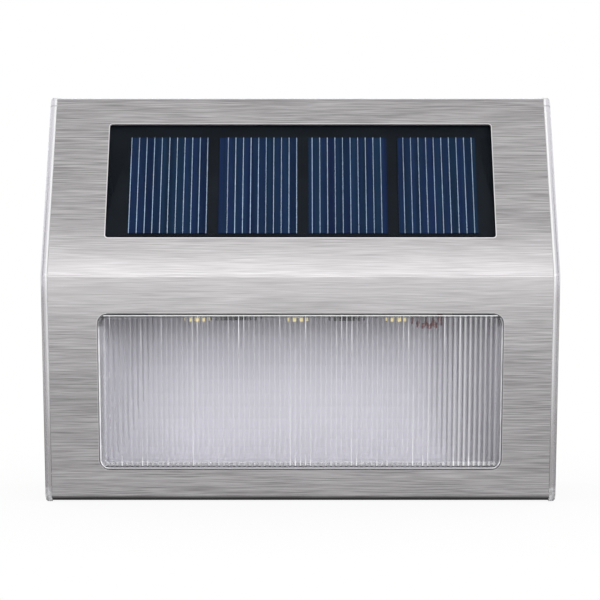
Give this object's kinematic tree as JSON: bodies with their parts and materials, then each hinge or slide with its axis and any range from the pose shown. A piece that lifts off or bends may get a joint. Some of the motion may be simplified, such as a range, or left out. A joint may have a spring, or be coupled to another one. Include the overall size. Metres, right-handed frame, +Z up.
{
  "type": "solar step light",
  "caption": "Wedge-shaped solar step light with a bent steel cover, clear side walls, a sloping solar module, a ribbed lens over LEDs, and a screwed back cover with keyholes and a slide switch.",
  "frame": {"origin": "middle of the wall face, in the plane of the back cover", "axes": "+X across the light, +Y into the wall, +Z up; the lens and the solar module face -Y"},
  "size_m": [0.118, 0.0452, 0.0934],
  "materials": {
    "clear_plastic": "clear, glossy, slightly lavender grey",
    "brushed_steel": "horizontally brushed stainless sheet",
    "white_tape": "double-sided foam tape",
    "clear_lens": "clear, glossy, ribbed",
    "white_plastic": "smooth white moulding",
    "black_board": "black board",
    "silicon": "dark blue silicon cell",
    "silver_print": "printed silver lines",
    "clear_resin": "clear glossy resin",
    "grey_foam": "foam tape",
    "white_board": "white solder mask",
    "white_ceramic": "white package",
    "phosphor": "yellow phosphor",
    "black_resin": "moulded black package",
    "zinc_steel": "bright zinc plating",
    "black_plastic": "fine-textured black moulding",
    "cell_metal": "nickel-plated can",
    "green_sleeve": "shrunk plastic sleeve",
    "nickel_contact": "nickel-plated sheet and wire",
    "seal_rubber": "soft black seal",
    "brown_laminate": "brown laminate",
    "red_lead": "red insulated wire",
    "black_lead": "black insulated wire"
  },
  "bodies": {
    "light": {"front_housing": "clear_plastic", "steel_cover": "brushed_steel", "cover_tape": "white_tape", "lens": "clear_lens", "reflector": "white_plastic", "solar_board": "black_board", "solar_cells": "silicon", "cell_fingers": "silver_print", "solar_glaze": "clear_resin", "solar_tape": "grey_foam", "led_board": "white_board", "led_left": "white_ceramic", "led_centre": "white_ceramic", "led_right": "white_ceramic", "led_phosphor": "phosphor", "driver_chip": "black_resin", "inductor": "black_resin", "board_screws": "zinc_steel", "battery_holder": "black_plastic", "battery_can": "cell_metal", "battery_sleeve": "green_sleeve", "spring_contact": "nickel_contact", "plate_contact": "nickel_contact", "back_cover": "black_plastic", "back_seal": "seal_rubber", "back_screws": "zinc_steel", "switch_frame": "zinc_steel", "switch_base": "brown_laminate", "switch_pins": "nickel_contact", "switch_screws": "zinc_steel", "solar_lead_red": "red_lead", "solar_lead_black": "black_lead", "battery_lead_red": "red_lead", "battery_lead_black": "black_lead", "switch_lead_red": "red_lead"},
    "knob": {"switch_knob": "white_plastic"}
  },
  "joints": [
    {"name": "switch_slide", "type": "slide", "parent": "light", "child": "knob", "axis": [1, 0, 0], "range_m": [0, 0.0025]}
  ]
}
